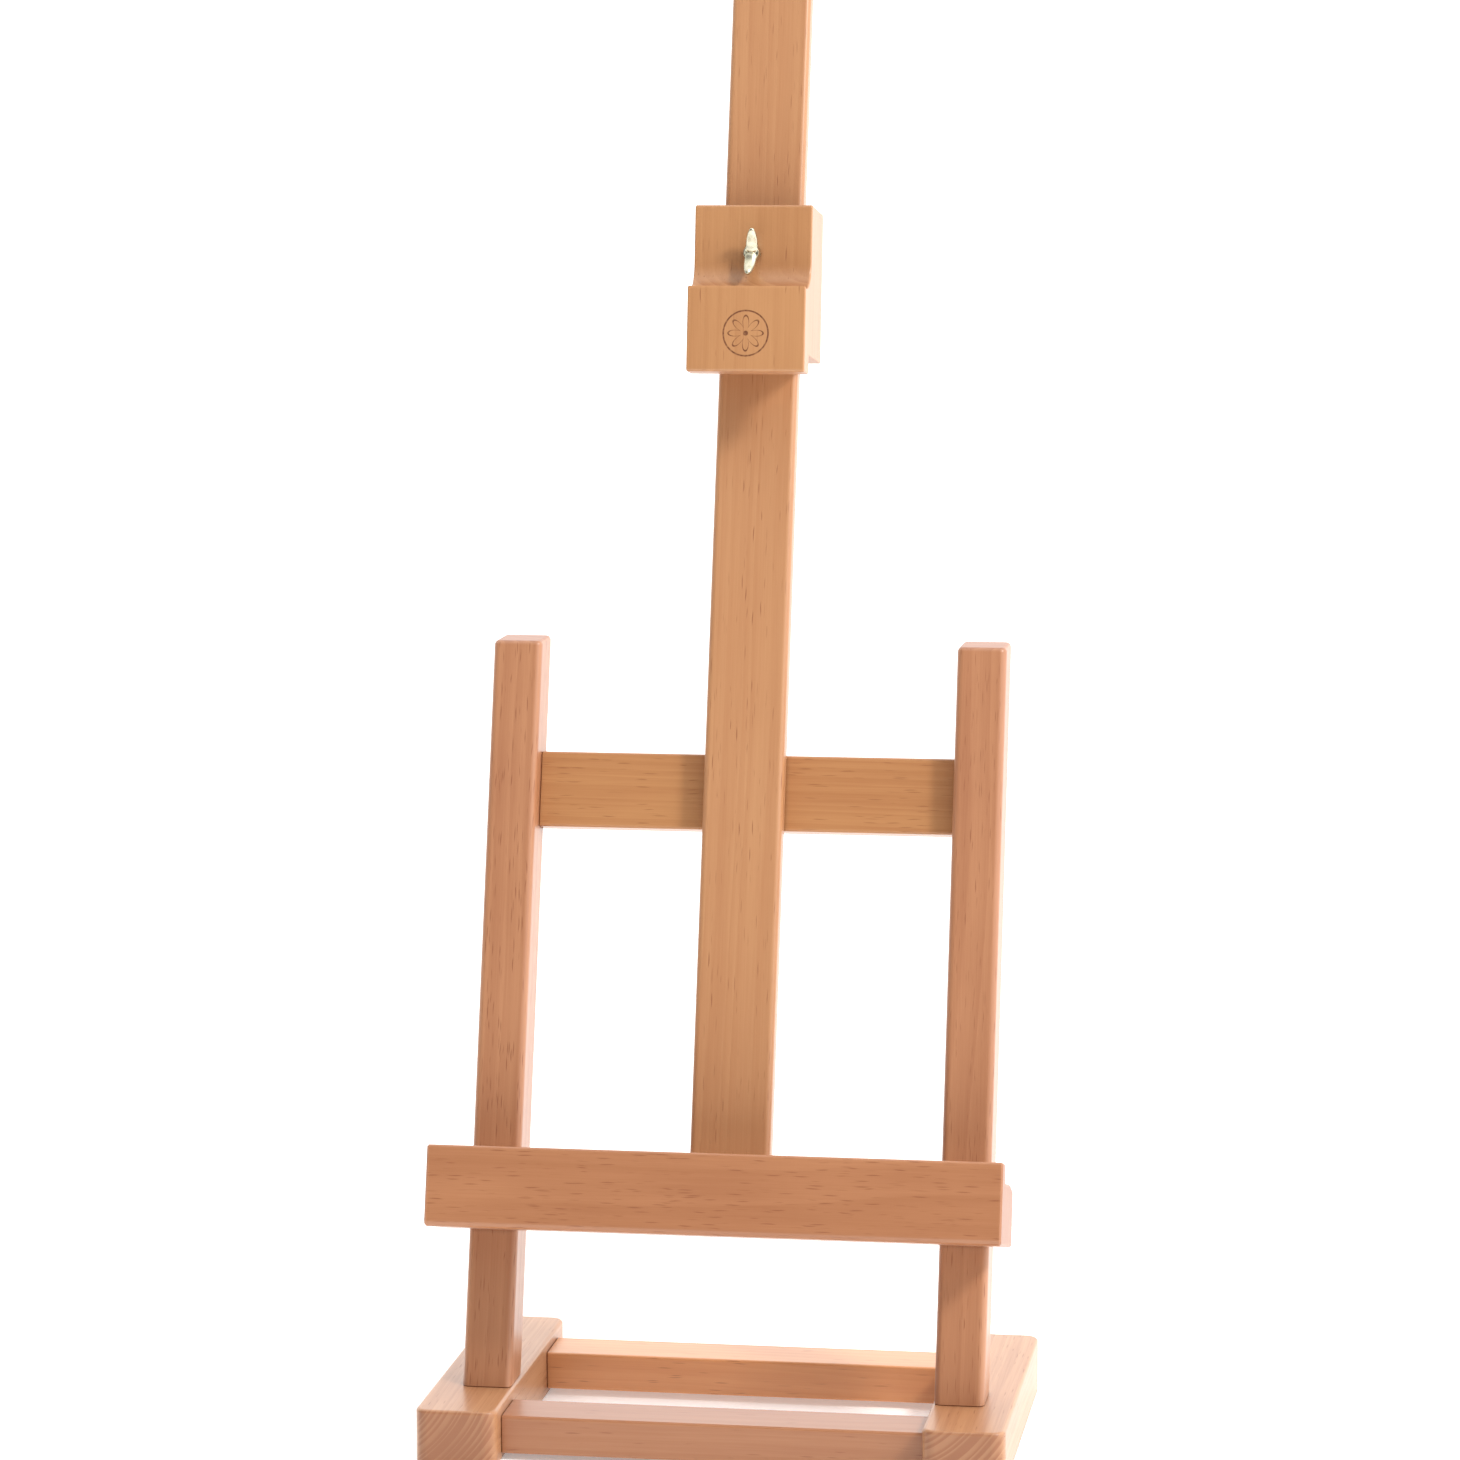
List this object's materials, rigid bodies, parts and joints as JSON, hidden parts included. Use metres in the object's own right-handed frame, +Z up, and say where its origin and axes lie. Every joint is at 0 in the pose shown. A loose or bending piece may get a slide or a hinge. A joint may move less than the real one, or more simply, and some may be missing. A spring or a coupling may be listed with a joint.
{
  "type": "table easel",
  "caption": "Wooden table easel: a leaning H frame on runners, with a lipped canvas ledge and a top holder that slides on the mast and locks with a wing screw.",
  "frame": {"origin": "on the floor, under the middle of the easel's bounding box", "axes": "+X to the right as the painter faces the easel, +Y to the back, the way the mast leans, +Z up"},
  "size_m": [0.258, 0.2199, 0.6619],
  "materials": {
    "beech": "planed and sanded beech, thinly oiled, satin, with short dark flecks",
    "dowel_beech": "unfinished beech dowel rod",
    "zinc_steel": "zinc-plated steel, semi-bright",
    "brass": "turned brass",
    "nylon": "natural nylon, matt",
    "nickelled_steel": "cast wing screw, bright nickel plating"
  },
  "bodies": {
    "frame": {"left_runner": "beech", "right_runner": "beech", "front_base_bar": "beech", "rear_base_bar": "beech", "left_upright": "beech", "right_upright": "beech", "upper_crossbar": "beech", "mast": "beech", "ledge": "beech", "base_dowels": "dowel_beech", "crossbar_dowels": "dowel_beech", "foot_dowels": "dowel_beech", "foot_screws": "zinc_steel", "ledge_screws": "zinc_steel", "mast_screws": "zinc_steel"},
    "holder": {"holder_block": "beech", "holder_plate": "beech", "plate_screws": "zinc_steel", "threaded_insert": "brass"},
    "pad": {"pressure_pad": "nylon"},
    "wing": {"wing_screw": "nickelled_steel"}
  },
  "joints": [
    {"name": "holder_slide", "type": "slide", "parent": "frame", "child": "holder", "axis": [0, 0.2588, 0.9659], "range_m": [-0.175, 0.12]},
    {"name": "pad_slide", "type": "slide", "parent": "holder", "child": "pad", "axis": [0, -0.9877, 0.1564], "range_m": [-0.00017, 0.00088]},
    {"name": "wing_turn", "type": "hinge", "parent": "pad", "child": "wing", "pos_m": [0, 0.0323, 0.52046], "axis": [0, -0.9877, 0.1564], "range_deg": [-92, 452]}
  ],
  "couplings": [
    {"joint": "wing_turn", "follows": "pad_slide", "rad_per_m": 8976}
  ]
}
